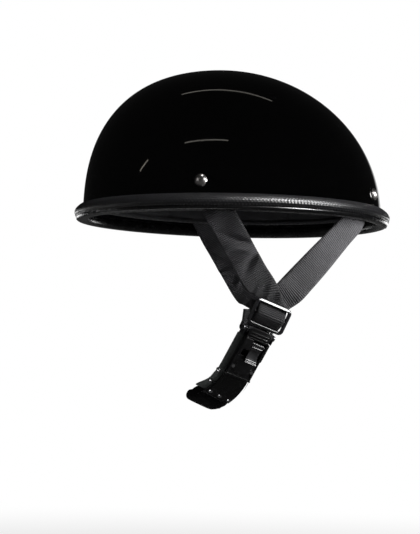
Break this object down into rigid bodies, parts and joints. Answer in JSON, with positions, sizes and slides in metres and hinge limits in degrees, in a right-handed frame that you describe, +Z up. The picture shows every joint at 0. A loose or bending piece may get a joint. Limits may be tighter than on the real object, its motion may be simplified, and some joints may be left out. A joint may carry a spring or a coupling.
{
  "type": "half shell motorcycle helmet",
  "caption": "Low half-shell helmet with a rolled rim trim, quilted liner, riveted Y straps, sliding glides, a lever-release buckle and a padded chin strap.",
  "frame": {"origin": "middle of the head opening, level with the lowest edge of the rim trim, where the helmet is carried by the head", "axes": "+Z up through the crown, -Y towards the face, +X towards the wearer's left, where the buckle is"},
  "size_m": [0.231, 0.2864, 0.3085],
  "materials": {
    "shell_gloss": "deep gloss black lacquer",
    "trim_vinyl": "pebbled soft vinyl, satin",
    "foam": "fine beaded foam, matt",
    "lining_cloth": "quilted brushed cloth",
    "lining_edge": "sewn binding",
    "rivet_chrome": "bright plated",
    "washer_steel": "zinc plated",
    "webbing": "woven nylon with a grey sheen",
    "glide_black": "gloss black",
    "buckle_black": "satin black",
    "buckle_steel": "dark plated",
    "bar_steel": "plated",
    "small_rivet": "bright plated",
    "lever_black": "gloss black",
    "spring_steel": "drawn wire",
    "tongue_gloss": "gloss black",
    "guard_grey": "satin grey-green",
    "pad_cloth": "padded knit cloth"
  },
  "bodies": {
    "helmet": {"outer_shell": "shell_gloss", "edge_trim": "trim_vinyl", "foam_liner": "foam", "comfort_liner": "lining_cloth", "liner_band": "lining_edge", "strap_rivets": "rivet_chrome", "rivet_washers": "washer_steel", "left_front_strap": "webbing", "left_rear_strap": "webbing", "right_front_strap": "webbing", "right_rear_strap": "webbing", "buckle_housing": "buckle_black", "buckle_base_plate": "buckle_steel", "buckle_bar": "bar_steel", "housing_rivets": "small_rivet", "lever_pin": "bar_steel", "lever_spring": "spring_steel"},
    "left_glide": {"left_glide": "glide_black"},
    "right_glide": {"right_glide": "glide_black"},
    "lever": {"buckle_lever": "lever_black"},
    "chin_band": {"buckle_tongue": "tongue_gloss", "tongue_rivets": "small_rivet", "jaw_guard": "guard_grey", "guard_rivets": "small_rivet", "chin_strap": "webbing", "chin_pad": "pad_cloth"}
  },
  "joints": [
    {"name": "lever_lift", "type": "hinge", "parent": "helmet", "child": "lever", "pos_m": [0.07959, 0.01949, -0.11109], "axis": [0.3553, -0.8794, 0.317], "range_deg": [0, 38], "stiffness_Nm_per_rad": 0.05, "springref_deg": -20.05, "deforming": ["lever_spring"]},
    {"name": "tongue_slide", "type": "slide", "parent": "helmet", "child": "chin_band", "axis": [-0.3044, -0.4295, -0.8502], "range_m": [0, 0.029], "deforming": ["chin_strap"]},
    {"name": "left_glide_slide", "type": "slide", "parent": "helmet", "child": "left_glide", "axis": [0.2158, 0.3972, 0.892], "range_m": [0, 0.012], "deforming": ["left_front_strap", "left_rear_strap"]},
    {"name": "right_glide_slide", "type": "slide", "parent": "helmet", "child": "right_glide", "axis": [-0.2158, 0.3972, 0.892], "range_m": [0, 0.012], "deforming": ["right_front_strap", "right_rear_strap"]}
  ]
}
